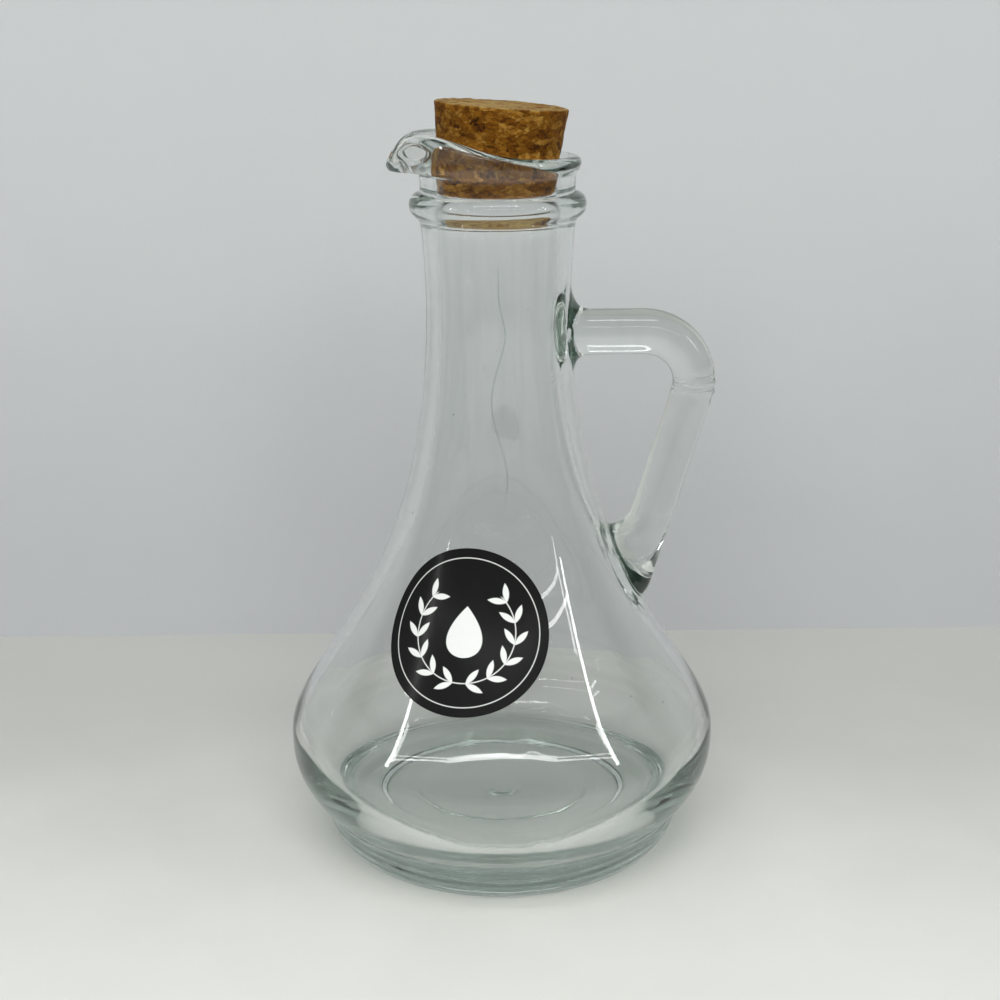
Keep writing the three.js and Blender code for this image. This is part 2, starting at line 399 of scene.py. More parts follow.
    def mouth(self, outline: Outline, spacing: float) -> None:
        """Draws the collar bead, the throat and the rim, over into the mouth.

        Args:
            outline: An outline that ends under the collar.
            spacing: About how far apart the points lie.
        """
        throat = self.mouth_bore_radius + self.mouth_wall
        collar = throat + self.collar_proud
        collar_top = self.collar_bottom + self.collar_height
        crest = self.collar_bottom + self.collar_crest
        root = outline.points[-1].x
        outline.curve(((root + 3 * collar) / 4, self.collar_bottom + self.collar_crest / 4),
                      (collar, crest - self.collar_crest / 2), (collar, crest), spacing)
        outline.curve((collar, (crest + collar_top) / 2), ((throat + collar) / 2, collar_top),
                      (throat, collar_top), spacing)
        outline.line(throat, self.lip_root, spacing)
        rim_line = self.rim_top - self.rim_round
        rim, half = throat + self.rim_overhang, self.rim_inner
        middle = rim - half
        turn = (self.lip_root + rim_line) / 2
        outline.curve((throat, turn), (rim, turn), (rim, rim_line), spacing)
        bulge = self.rim_round * QUARTER_ARC
        outline.curve((rim, rim_line + bulge), (middle + half * QUARTER_ARC, self.rim_top),
                      (middle, self.rim_top), spacing)
        bore = self.mouth_bore_radius
        outline.curve(((middle + bore) / 2, self.rim_top),
                      (bore + self.mouth_lean * self.mouth_spring, self.seat_height + self.mouth_spring),
                      (bore, self.seat_height), spacing)

    def inside(self, outline: Outline, spacing: float) -> None:
        """Draws the bore and the inside of the belly, down to the middle of the floor.

        Args:
            outline: An outline that ends at the cork's seat.
            spacing: About how far apart the points lie.
        """
        neck_bore = self.mouth_bore_radius - self.neck_waist
        belly = self.belly_radius - self.belly_wall
        floor = self.recess_depth + self.mark_depth + self.base_thickness
        floor_radius = self.groove_radius - self.floor_inset
        outline.line(self.mouth_bore_radius, self.seat_height - self.waist_below_seat, spacing)
        outline.line(neck_bore, self.neck_line, spacing)
        outline.curve((neck_bore, self.neck_line - self.shoulder_sweep),
                      (belly, self.belly_line + self.belly_spring), (belly, self.belly_line), spacing)
        outline.curve((belly, self.belly_line - self.inner_tuck),
                      (floor_radius + self.floor_curl, floor), (floor_radius, floor), spacing)
        outline.line(0.0, floor, spacing)


class WallLine:
    """The outer wall's line from the belly's widest point up to the collar, for what lies on it."""

    def __init__(self, sizes: BottleSizes) -> None:
        """Draws the line finely and measures along it.

        Args:
            sizes: The bottle's sizes.
        """
        outline = Outline(sizes.belly_radius, sizes.belly_line)
        sizes.shoulder(outline, spacing=0.25)
        self.points = outline.points
        self.heights = [point.y for point in self.points]
        self.lengths = [0.0]
        for a, b in zip(self.points, self.points[1:]):
            self.lengths.append(self.lengths[-1] + (b - a).length)

    def radius(self, height: float) -> float:
        """The wall's radius at a height."""
        above = min(max(bisect_left(self.heights, height), 1), len(self.heights) - 1)
        low, high = self.points[above - 1], self.points[above]
        return low.x + (high.x - low.x) * (height - low.y) / (high.y - low.y)

    def at(self, length: float) -> tuple[Vector, Vector]:
        """Finds a place along the line.

        Args:
            length: The distance along the wall from its widest point.

        Returns:
            The point there, and the line's direction.
        """
        after = min(max(bisect_left(self.lengths, length), 1), len(self.lengths) - 1)
        low, high = self.points[after - 1], self.points[after]
        run = self.lengths[after] - self.lengths[after - 1]
        share = (length - self.lengths[after - 1]) / run
        return low.lerp(high, share), (high - low).normalized()


class Signal:
    """One value in a shader, with arithmetic that adds Math nodes."""

    def __init__(self, board: "NodeBoard", socket: bpy.types.NodeSocket) -> None:
        """Wraps an output socket."""
        self.board = board
        self.socket = socket

    def maths(self, operation: str, *values: "Signal | float") -> "Signal":
        """Adds one Math node, with its inputs in order."""
        return self.board.add("ShaderNodeMath", {"operation": operation}, dict(enumerate(values)))

    def __add__(self, other: "Signal | float") -> "Signal":
        """The sum."""
        return self.maths("ADD", self, other)

    def __sub__(self, other: "Signal | float") -> "Signal":
        """The difference."""
        return self.maths("SUBTRACT", self, other)

    def __rsub__(self, other: float) -> "Signal":
        """The difference from a number."""
        return self.maths("SUBTRACT", other, self)

    def __mul__(self, other: "Signal | float") -> "Signal":
        """The product."""
        return self.maths("MULTIPLY", self, other)

    def __truediv__(self, other: "Signal | float") -> "Signal":
        """The quotient."""
        return self.maths("DIVIDE", self, other)

    def __abs__(self) -> "Signal":
        """The size without its sign."""
        return self.maths("ABSOLUTE", self)

    __radd__ = __add__

    def root(self) -> "Signal":
        """The square root."""
        return self.maths("SQRT", self)

    def cosine(self) -> "Signal":
        """The cosine."""
        return self.maths("COSINE", self)

    def least(self, other: "Signal | float") -> "Signal":
        """The smaller of two values."""
        return self.maths("MINIMUM", self, other)

    def most(self, other: "Signal | float") -> "Signal":
        """The larger of two values."""
        return self.maths("MAXIMUM", self, other)

    def between(self, low: float, high: float, start: float = 0.0, end: float = 1.0) -> "Signal":
        """Maps a range smoothly to another.

        Args:
            low: The value that becomes start.
            high: The value that becomes end.
            start: The result up to low.
            end: The result from high on.

        Returns:
            The mapped value.
        """
        settings = {"interpolation_type": "SMOOTHSTEP", "clamp": True}
        inputs = {0: self, 1: low, 2: high, 3: start, 4: end}
        return self.board.add("ShaderNodeMapRange", settings, inputs)


class NodeBoard:
    """A shader's node tree, laid out by calls."""

    def __init__(self, owner: bpy.types.Material | bpy.types.World) -> None:
        """Empties the owner's node tree."""
        owner.use_nodes = True
        self.owner = owner
        self.tree = owner.node_tree
        self.tree.nodes.clear()

    @classmethod
    def material(cls, name: str) -> Self:
        """A board for a new material."""
        return cls(bpy.data.materials.new(name))

    def add(self, kind: str, settings: dict[str, Any] | None = None,
            inputs: dict[str | int, Any] | None = None, output: str | int = 0) -> Signal:
        """Adds any node.

        Args:
            kind: The node's type.
            settings: Its settings, set first; stops are a ramp's places and colours.
            inputs: Values or signals for its sockets, by name or number.
            output: The output to return, by name or number.

        Returns:
            The chosen output.
        """
        node = self.tree.nodes.new(kind)
        for name, value in (settings or {}).items():
            if name == "stops":
                self.set_stops(node.color_ramp, value)
            else:
                setattr(node, name, value)
        for name, value in (inputs or {}).items():
            if isinstance(value, Signal):
                self.tree.links.new(value.socket, node.inputs[name])
            else:
                node.inputs[name].default_value = value
        return Signal(self, node.outputs[output] if len(node.outputs) else None)

    @staticmethod
    def set_stops(ramp: bpy.types.ColorRamp, stops: Sequence[tuple[float, Colour]]) -> None:
        """Gives a ramp its stops.

        Args:
            ramp: The ramp, with its two first stops.
            stops: Places from 0 to 1 with their colours.
        """
        while len(ramp.elements) < len(stops):
            ramp.elements.new(1.0)
        for element, (place, colour) in zip(ramp.elements, stops):
            element.position = place
            element.color = (*colour, 1.0)

    def place(self) -> Signal:
        """The piece's own coordinates."""
        return self.add("ShaderNodeTexCoord", output="Object")

    def split(self, vector: Signal) -> list[Signal]:
        """The three parts of a vector."""
        node = self.add("ShaderNodeSeparateXYZ", {}, {0: vector}).socket.node
        return [Signal(self, socket) for socket in node.outputs]

    def mix(self, factor: Signal | float, first: Any, second: Any) -> Signal:
        """Mixes two colours.

        Args:
            factor: 0 for the first, 1 for the second.
            first: A colour or its signal.
            second: A colour or its signal.

        Returns:
            The mixed colour.
        """
        first, second = ((*c, 1.0) if isinstance(c, tuple) else c for c in (first, second))
        inputs = {0: factor, 6: first, 7: second}
        return self.add("ShaderNodeMix", {"data_type": "RGBA"}, inputs, 2)

    def noise(self, vector: Signal, size: float, detail: float = 3.0, output: int = 0) -> Signal:
        """Soft noise with features of a size in millimetres: output 0 is a value and 1 a colour."""
        inputs = {"Vector": vector, "Scale": 1.0 / (size * MM), "Detail": detail}
        return self.add("ShaderNodeTexNoise", {}, inputs, output)

    def cells(self, vector: Signal, size: float, feature: str, output: str) -> Signal:
        """One output of a Voronoi feature, with cells of a size in millimetres."""
        inputs = {"Vector": vector, "Scale": 1.0 / (size * MM)}
        return self.add("ShaderNodeTexVoronoi", {"feature": feature}, inputs, output)

    def bump(self, height: Signal, distance: float) -> Signal:
        """The normal of a bump, where a height of 1 stands for a distance in millimetres."""
        inputs = {"Strength": 1.0, "Distance": distance * MM, "Height": height}
        return self.add("ShaderNodeBump", {}, inputs)

    def surface(self, inputs: dict[str | int, Any], volume: Signal | None = None) -> bpy.types.Material:
        """Ends the tree in one Principled shader and what fills the piece."""
        shader = self.add("ShaderNodeBsdfPrincipled", {}, inputs)
        return self.output(shader, volume)

    def output(self, shader: Signal, volume: Signal | None = None) -> bpy.types.Material:
        """Ends the tree in any shader.

        Args:
            shader: The surface's shader.
            volume: What fills the piece.

        Returns:
            The finished material.
        """
        ends = {"Surface": shader}
        if volume:
            ends["Volume"] = volume
        self.add("ShaderNodeOutputMaterial", {}, ends)
        return self.owner


@dataclass(frozen=True)
class GlassFinish:
    """Clear soda glass, green where it is thick, with the streaks, waves and smears of blown ware.

    Waves, smears and streaks are sized in millimetres. Rings, cord and the ends of the streaks are placed
    in metres, as the piece's own coordinates are. A pair of places is where a mark starts and where it is
    at its full strength, but an edge's pair is how far from its middle a mark is full and where it ends.
    """

    tint: Colour = (0.998, 1.0, 0.999)
    thick_colour: Colour = (0.675, 0.75, 0.71)
    density: float = 23.0
    index: float = 1.5
    wave_size: float = 18.0
    wave_depth: float = 0.05
    smear_size: float = 9.0
    smear_range: tuple[float, float] = (0.55, 0.8)
    smear_roughness: float = 0.02
    ring_height: float = 0.1285
    rings_apart: float = 0.0022
    ring_edge: tuple[float, float] = (0.00015, 0.00036)
    ring_start: tuple[float, float] = (0.040, 0.042)
    ring_roughness: float = 0.45
    streak_size: float = 3.4
    streak_stretch: float = 0.06
    streak_range: tuple[float, float] = (0.50, 0.68)
    streak_tint: Colour = (0.95, 0.962, 0.96)
    streak_foot: tuple[float, float] = (0.085, 0.115)
    streak_top: tuple[float, float] = (0.174, 0.168)
    cord_height: float = 0.128
    cord_swing: float = 0.0019
    cord_pitch: float = 0.040
    cord_bend: tuple[float, float] = (0.158, 0.142)
    cord_front: tuple[float, float] = (-0.012, -0.014)
    cord_foot: tuple[float, float] = (0.100, 0.110)
    cord_top: tuple[float, float] = (0.166, 0.156)
    cord_edge: tuple[float, float] = (0.00011, 0.00022)
    cord_tint: Colour = (0.76, 0.80, 0.79)

    def flaws(self, board: NodeBoard, place: Signal) -> Signal:
        """Tints the glass along drawn-out streaks and one wavy cord on the front of the neck.

        Args:
            board: The material's nodes.
            place: The place on the object.

        Returns:
            The glass's colour.
        """
        scale = (1.0, 1.0, self.streak_stretch)
        drawn = board.add("ShaderNodeMapping", {}, {"Vector": place, "Scale": scale})
        streaks = board.noise(drawn, self.streak_size, 2.0).between(*self.streak_range)
        aside, back, height = board.split(place)
        streaks = streaks * height.between(*self.streak_foot) * height.between(*self.streak_top)
        turn = (height - self.cord_height) * (2 * math.pi / self.cord_pitch)
        swing = turn.cosine() * self.cord_swing * height.between(*self.cord_bend)
        cord = abs(aside + swing).between(*self.cord_edge, 1.0, 0.0) * back.between(*self.cord_front)
        cord = cord * height.between(*self.cord_foot) * height.between(*self.cord_top)
        return board.mix(cord, board.mix(streaks, self.tint, self.streak_tint), self.cord_tint)

    def rings(self, board: NodeBoard, place: Signal) -> Signal:
        """Marks the two thin rings round the handle, where the hot rod was held.

        Args:
            board: The material's nodes.
            place: The place on the object.

        Returns:
            1 on the rings and 0 elsewhere.
        """
        aside, _, height = board.split(place)
        away = abs(abs(height - self.ring_height) - self.rings_apart / 2)
        return away.between(*self.ring_edge, 1.0, 0.0) * aside.between(*self.ring_start)

    def material(self) -> bpy.types.Material:
        """Builds the glass.

        Returns:
            The material.
        """
        board = NodeBoard.material("clear_glass")
        place = board.place()
        smears = board.noise(place, self.smear_size).between(*self.smear_range, 0.0, self.smear_roughness)
        waves = board.bump(board.noise(place, self.wave_size, 1.0), self.wave_depth)
        thick = {"Color": (*self.thick_colour, 1.0), "Density": self.density}
        return board.surface({
            "Base Color": self.flaws(board, place),
            "Roughness": smears + self.rings(board, place) * self.ring_roughness,
            "IOR": self.index,
            "Transmission Weight": 1.0,
            "Normal": waves,
        }, board.add("ShaderNodeVolumeAbsorption", {}, thick))


@dataclass(frozen=True)
class CorkFinish:
    """Pressed cork: brown granules of many sizes with dark specks, paler cut ends, and painted light that
    brightens the part down in the mouth.
    """

    end_attribute: str = "end_grain"
    granule: float = 2.7
    chip: float = 1.1
    flatness: float = 1.5
    warp: float = 1.5
    dark: Colour = (0.030, 0.010, 0.001)
    brown: Colour = (0.116, 0.038, 0.002)
    ochre: Colour = (0.205, 0.081, 0.006)
    pale: Colour = (0.41, 0.22, 0.045)
    end_tan: Colour = (0.39, 0.28, 0.105)
    # Painted light: the heights below which the cork is painted brighter, and how much brighter.
    painted_light_heights: tuple[float, float] = (0.191, 0.186)
    painted_light_gain: float = 0.7
    grain: float = 0.7
    tone_shares: tuple[float, float, float] = (0.62, 0.40, 0.34)
    tone_drop: float = 0.20
    tone_stops: tuple[float, float] = (0.22, 0.55)
    seam_width: float = 0.10
    seam_share: float = 0.22
    speck: float = 0.9
    speck_range: tuple[float, float] = (0.63, 0.70)
    speck_share: float = 0.75
    end_share: float = 0.8
    relief_shares: tuple[float, float, float] = (0.4, 0.5, 0.6)
    relief_level: float = 0.4
    relief_depth: float = 0.25
    roughness: float = 0.72
    tone_roughness: float = 0.2

    def material(self) -> bpy.types.Material:
        """Builds the cork.

        Returns:
            The material.
        """
        board = NodeBoard.material("pressed_cork")
        scale = (1.0, 1.0, self.flatness)
        place = board.add("ShaderNodeMapping", {}, {"Vector": board.place(), "Scale": scale})
        drift = board.add("ShaderNodeVectorMath", {"operation": "SUBTRACT"}, {
            0: board.noise(place, self.granule / 3, 4.0, 1), 1: (0.5, 0.5, 0.5)})
        warped = board.add("ShaderNodeVectorMath", {"operation": "MULTIPLY_ADD"}, {
            0: drift, 1: (self.warp * MM,) * 3, 2: place})
        granules = board.add("ShaderNodeSeparateColor", {}, {
            0: board.cells(warped, self.granule, "F1", "Color")})
        chips = board.add("ShaderNodeSeparateColor", {}, {
            0: board.cells(warped, self.chip, "F1", "Color")})
        granule_share, chip_share, grain_share = self.tone_shares
        tone = granules * granule_share + chips * chip_share
        tone = tone + board.noise(place, self.grain) * grain_share - self.tone_drop
        brown_stop, ochre_stop = self.tone_stops
        stops = [(0.0, self.dark), (brown_stop, self.brown), (ochre_stop, self.ochre), (1.0, self.pale)]
        side = board.add("ShaderNodeValToRGB", {"stops": stops}, {0: tone})
        edges = board.cells(warped, self.granule, "DISTANCE_TO_EDGE", "Distance")
        seams = edges.between(0.0, self.seam_width)
        specks = board.noise(warped, self.speck).between(*self.speck_range)
        end = board.add("ShaderNodeAttribute", {"attribute_name": self.end_attribute}, {}, "Fac")
        ends = board.mix(tone.between(0.0, 0.75), self.ochre, self.end_tan)
        colour = board.mix(end * self.end_share, side, ends)
        colour = board.mix((1 - seams) * self.seam_share, colour, self.dark)
        colour = board.mix(specks * self.speck_share, colour, self.dark)
        seam_relief, tone_relief, speck_relief = self.relief_shares
        height = seams * seam_relief + tone * tone_relief - specks * speck_relief + self.relief_level
        # Painted light: below the rim, where the cork is seen through the glass, its colour is painted up
        # to 1.7 times brighter.
        up = board.split(board.place())[2]
        painted_light = up.between(*self.painted_light_heights) * self.painted_light_gain + 1.0
        colour = board.add("ShaderNodeVectorMath", {"operation": "SCALE"}, {0: colour, "Scale": painted_light})
        return board.surface({
            "Base Color": colour,
            "Roughness": self.roughness + tone * self.tone_roughness,
            "Specular IOR Level": 0.12,
            "Normal": board.bump(height, self.relief_depth),
        })


@dataclass(frozen=True)
class StickerFinish:
    """Glossy black film with a plain white print: a drop inside a wreath of leaves and a thin ring."""

    uv_name: str = "print"
    bare_place: tuple[float, float] = (2.0, 2.0)
    film: Colour = (0.010, 0.010, 0.010)
    ink: Colour = (0.80, 0.81, 0.79)
    edge: float = 0.012
    ring: tuple[float, float] = (0.885, 0.011)
    wreath_radius: float = 0.60
    stem_width: float = 0.012
    stem_ends: tuple[float, float] = (0.44, 0.47)
    leaf_pairs: int = 6
    leaf: tuple[float, float] = (0.125, 0.042)
    leaf_offset: float = 0.55
    leaf_lean: float = math.radians(38)
    first_leaf: float = math.radians(16)
    leaf_sweep: float = math.radians(124)
    drop_foot: float = -0.30
    drop_height: float = 0.62
    drop_width: float = 0.58
    grain_size: float = 0.5
    haze_size: float = 6.0
    worn_ink: tuple[float, float, float, float] = (0.2, 0.4, 0.86, 1.0)
    roughness: float = 0.13
    haze_roughness: float = 0.10
    ink_roughness: float = 0.15
    ink_relief: float = 0.6
    grain_relief: float = 0.15
    relief_depth: float = 0.02

    def leaf_mask(self, across: Signal, up: Signal, turn: float, side: int) -> Signal:
        """One leaf of the wreath.

        Args:
            across: The distance from the middle line, without its sign.
            up: The height over the middle.
            turn: Where the leaf sits on the wreath, from the bottom.
            side: 1 for a leaf outside the stem, -1 for one inside.

        Returns:
            1 on the leaf and 0 elsewhere.
        """
        length, width = self.leaf
        radius = self.wreath_radius + side * length * self.leaf_offset
        middle = Vector((radius * math.sin(turn), -radius * math.cos(turn)))
        lean = turn - side * self.leaf_lean
        along = (across - middle.x) * math.cos(lean) + (up - middle.y) * math.sin(lean)
        aside = (up - middle.y) * math.cos(lean) - (across - middle.x) * math.sin(lean)
        share = along / length
        return ((1 - share * share) * width - abs(aside)).between(0.0, self.edge)

    def print_mask(self, board: NodeBoard) -> Signal:
        """The whole print.

        Args:
            board: The material's node tree.

        Returns:
            1 on ink and 0 on film.
        """
        uv = board.add("ShaderNodeUVMap", {"uv_map": self.uv_name})
        aside, up, _ = board.split(uv)
        across = abs(aside)
        radius = (across * across + up * up).root()
        ring_radius, ring_width = self.ring
        ink = (ring_width - abs(radius - ring_radius)).between(0.0, self.edge)
        stem = (self.stem_width - abs(radius - self.wreath_radius)).between(0.0, self.edge)
        ink = ink.most(stem.least(up.between(*self.stem_ends, 1.0, 0.0)))
        for pair in range(self.leaf_pairs):
            turn = self.first_leaf + self.leaf_sweep * pair / (self.leaf_pairs - 1)
            for side in (-1, 1):
                ink = ink.most(self.leaf_mask(across, up, turn, side))
        rise = ((up - self.drop_foot) / self.drop_height).most(0.0)
        drop = rise.root() * (1 - rise) * self.drop_width - across
        return ink.most(drop.between(0.0, self.edge))

    def material(self) -> bpy.types.Material:
        """Builds the film and its print.

        Returns:
            The material.
        """
        board = NodeBoard.material("printed_film")
        place = board.place()
        ink = self.print_mask(board)
        grain = board.noise(place, self.grain_size)
        haze = board.noise(place, self.haze_size)
        relief = ink * self.ink_relief + grain * self.grain_relief
        return board.surface({
            "Base Color": board.mix(ink * grain.between(*self.worn_ink), self.film, self.ink),
            "Roughness": self.roughness + haze * self.haze_roughness + ink * self.ink_roughness,
            "Specular IOR Level": 0.1,
            "Normal": board.bump(relief, self.relief_depth),
        })


@dataclass(frozen=True)
class StageFinish:
    """A matt surface, seen from its front only, whose colour runs from a darker far to a lighter near
    colour, as painted shade.

    Places are in metres. Far out, past the picture's edges, it is painted dark, as painted shade.
    """

    name: str
    axis: int
    places: tuple[float, float]
    far: Colour
    near: Colour
    roughness: float
    outer: Colour = (0.11, 0.115, 0.112)
    outer_reach: tuple[float, float] = (0.36, 0.64)
    mottle_size: float = 60.0
    mottle_share: float = 0.3
    grain_size: float = 0.8
    grain_depth: float = 0.02

    def material(self) -> bpy.types.Material:
        """Builds the surface.

        Returns:
            The material.
        """
        board = NodeBoard.material(self.name)
        place = board.place()
        # Painted shade: along the axis the colour runs from the darker far colour to the lighter near one.
        along = board.split(place)[self.axis]
        mottle = board.noise(place, self.mottle_size, 4.0) * self.mottle_share - self.mottle_share / 2
        fade = (along - self.places[0]) / (self.places[1] - self.places[0]) + mottle
        lit = board.mix(fade.between(0.0, 1.0), self.far, self.near)
        # Painted shade: past the picture's edges the colour turns to the dark outer colour.
        reach = board.add("ShaderNodeVectorMath", {"operation": "LENGTH"}, {0: place}, "Value")
        front = board.add("ShaderNodeBsdfPrincipled", {}, {
            "Base Color": board.mix(reach.between(*self.outer_reach), lit, self.outer),
            "Roughness": self.roughness,
            "Specular IOR Level": 0.25,
            "Normal": board.bump(board.noise(place, self.grain_size), self.grain_depth),
        })
        behind = board.add("ShaderNodeNewGeometry", output="Backfacing")
        see_through = board.add("ShaderNodeBsdfTransparent")
        return board.output(board.add("ShaderNodeMixShader", {}, {0: behind, 1: front, 2: see_through}))


@dataclass
class BlownGlass:
    """The bottle's glass: blown body, tooled pouring lip and a rod handle fused to the wall."""

    sizes: BottleSizes
    wall: WallLine
    finish: GlassFinish = GlassFinish()
    steps: int = 192
    spout_reach: float = 7.1
    spout_spread: float = math.radians(21.0)
    cheek_rise: float = 6.0
    cheek_turn: float = math.radians(30.0)
    cheek_spread: float = math.radians(38.0)
    channel_depth: float = 5.7
    channel_spread: float = math.radians(9.5)
    tooling_depth: float = 3.6
    beak_root_depth: float = 6.4
    beak_depth: float = 3.4
    outer_ripple: float = 0.035
    inner_ripple: float = 0.10
    streaks: float = 0.045
    slow_waves: Waves = ((2, 0.45, 0.4, 31.0), (3, 0.35, 2.1, -44.0), (5, 0.30, 4.4, 70.0))
    fine_waves: Waves = ((11, 0.5, 1.3, 45.0), (17, 0.3, 0.2, -60.0), (23, 0.2, 2.7, 80.0))
    cord_height: float = 0.10
    cord_spread: float = 0.55
    cord_swing: float = 0.22
    cord_pitch: float = 17.0
    seeds: int = 26
    seed_size: float = 0.16
    seed_margin: float = 4.0
    seed_steps: tuple[float, float, float] = (0.618, 0.382, 0.755)
    seed_depth: tuple[float, float] = (0.35, 0.3)
    seed_scale: tuple[float, float] = (0.6, 0.8)
    seed_stretch: float = 1.6
    rod_sides: int = 56
    rod_step: float = 0.6
    rod_radius: float = 6.1
    leg_radius: float = 5.6
    bend_radius: float = 13.2
    handle_inset: float = 1.4
    arm_below_collar: float = 30.1
    leg_lean: float = math.radians(16.7)
    arm_fillet: float = 5.0
    crotch_flare: float = 6.0
    crotch_start: float = 18.0
    crotch_length: float = 7.0
    leg_flare: float = 2.5
    leg_flare_length: float = 10.0
    heel_round: float = 2.4
    heel_length: float = 6.0
    root_depth: float = 10.0
    root_sunk: float = 1.5
    root_rings: int = 7
    root_halvings: int = 24
    leg_step: float = 0.05
    arm_side_share: float = 0.2
    ridge_height: float = 0.36
    ridge_spread: float = 0.36
    ridge_apart: float = 2.2
    ridge_lower: float = 1.2
    ridge_crowding: float = 0.6
    ridge_zone: float = 5.0
    ridge_side: tuple[float, float] = (-0.5, 0.3)
    press_height: float = 1.0
    press_length: float = 14.0
    press_width: float = 9.0
    foot_ripple: float = 0.07
    foot_pitch: float = 2.6
    foot_swing: float = 1.5
    foot_lobes: int = 3
    foot_fades: tuple[float, float, float, float] = (1.0, 2.5, 9.5, 11.5)
    seam_reach: float = 1.3
    seam_depth: float = 1.0
    seam_turn: float = math.radians(12)
    seam_merge: float = 0.12
    seam_passes: tuple[tuple[float, int], ...] = ((1.0, 10), (1.7, 6))
    pole_merge: float = 0.01
    wave_radii: tuple[float, float] = (8.0, 14.0)
    wave_heights: tuple[float, float] = (8.0, 16.0)
    press_edge: tuple[float, float] = (1.0, 0.6)
    smooth_angle: float = math.radians(55)

    def blow_body(self) -> bpy.types.Object:
        """Draws the section by extruding a vertex along it and spins it into the body.

        Returns:
            The body, with its lip still round.
        """
        points = [Vector((p.x, 0.0, p.y)) * MM for p in self.sizes.profile()]
        body = new_piece("bottle_glass", bpy.ops.mesh.primitive_plane_add, size=MM)
        with editing(body):
            bpy.ops.mesh.select_all(action="SELECT")
            bpy.ops.mesh.merge(type="CENTER")
            bpy.ops.transform.translate(value=points[0])
            for start, end in zip(points, points[1:]):
                bpy.ops.mesh.extrude_vertices_move(TRANSFORM_OT_translate={"value": end - start})
            bpy.ops.mesh.select_all(action="SELECT")
            bpy.ops.mesh.spin(steps=self.steps, angle=2 * math.pi, center=(0, 0, 0), axis=(0, 0, 1))
            bpy.ops.mesh.select_all(action="SELECT")
            bpy.ops.mesh.remove_doubles(threshold=self.pole_merge * MM)
            face_outwards()
        return body

    def tool_lip(self, place: Vector) -> Vector:
        """Draws the rim out into a beak, with raised cheeks on both sides of a pouring channel.

        Args:
            place: A point of the round rim.

        Returns:
            Where the point goes.
        """
        top = self.sizes.rim_top
        if place.z < top - self.tooling_depth:
            return place
        turn = math.atan2(place.y, -place.x)
        reach = self.spout_reach * hill(turn, self.spout_spread)
        cheeks = self.cheek_rise * hill(abs(turn) - self.cheek_turn, self.cheek_spread)
        rise = cheeks - self.channel_depth * hill(turn, self.channel_spread)
        radius = math.hypot(place.x, place.y)
        radius += reach * smoothstep(place.z, top - self.beak_root_depth, top - self.beak_depth)
        height = place.z + rise * smoothstep(place.z, top - self.tooling_depth, top)
        return Vector((-radius * math.cos(turn), radius * math.sin(turn), height))

    def ripple(self, body: bpy.types.Object) -> None:
        """Gives the wall the slight unevenness of blown glass, most of it inside.

        Args:
            body: The spun body.
        """
        at, marks = self.rod_path()
        joint = at(marks["leg_foot"])[0].z
        moved = []
        for vertex in body.data.vertices:
            place = vertex.co / MM
            outwards = Vector((place.x, place.y, 0.0))
            clear_of_floor = smoothstep(outwards.length, *self.wave_radii)
            clear_of_floor *= smoothstep(place.z, *self.wave_heights)
            if vertex.normal.dot(outwards) < 0:
                shift = self.inner_shift(place, joint) * clear_of_floor
            else:
                shift = self.outer_shift(place, clear_of_floor)
            moved.append((place + shift * outwards / max(outwards.length, 1.0)) * MM)
        for vertex, place in zip(body.data.vertices, moved):
            vertex.co = place
        body.data.update()

    @staticmethod
    def sway(waves: Waves, place: Vector) -> float:
        """Adds up some waves round the bottle that drift with the height.

        Args:
            waves: Each wave's count, share, phase and pitch.
            place: A point of the wall.

        Returns:
            The sum, at most about 1.
        """
        turn = math.atan2(place.y, place.x)
        return sum(share * math.cos(count * turn + phase + place.z / pitch)
                   for count, share, phase, pitch in waves)

    def outer_shift(self, place: Vector, clear_of_floor: float) -> float:
        """How far a point of the outside moves outwards.

        Args:
            place: The point.
            clear_of_floor: 0 on the foot and 1 well above it.

        Returns:
            The way: the wall's slow waves, and faint rings on the foot.
        """
        turn = math.atan2(place.y, place.x)
        swing = self.foot_swing * math.sin(self.foot_lobes * turn)
        ring = math.sin(2 * math.pi * place.z / self.foot_pitch + swing)
        low, low_full, high_full, high = self.foot_fades
        foot = smoothstep(place.z, low, low_full) * smoothstep(place.z, high, high_full)
        waves = self.outer_ripple * self.sway(self.slow_waves, place)
        return waves * clear_of_floor + self.foot_ripple * ring * foot

    def inner_shift(self, place: Vector, joint: float) -> float:
        """How far a point of the inside moves outwards.

        Args:
            place: The point.
            joint: The height where the handle's leg meets the wall.

        Returns:
            The way: waves, streaks, one winding cord and the dent behind the handle's joint.
        """
        radius = math.hypot(place.x, place.y)
        turn = math.atan2(place.y, place.x)
        cord = radius * (turn + math.pi / 2 - self.cord_swing * math.sin(place.z / self.cord_pitch))
        shift = self.inner_ripple * self.sway(self.slow_waves, place)
        shift += self.streaks * self.sway(self.fine_waves, place)
        shift -= self.cord_height * hill(cord, self.cord_spread)
        press = math.hypot((place.z - joint) / self.press_length, radius * turn / self.press_width)
        return shift - self.press_height * smoothstep(press, *self.press_edge)

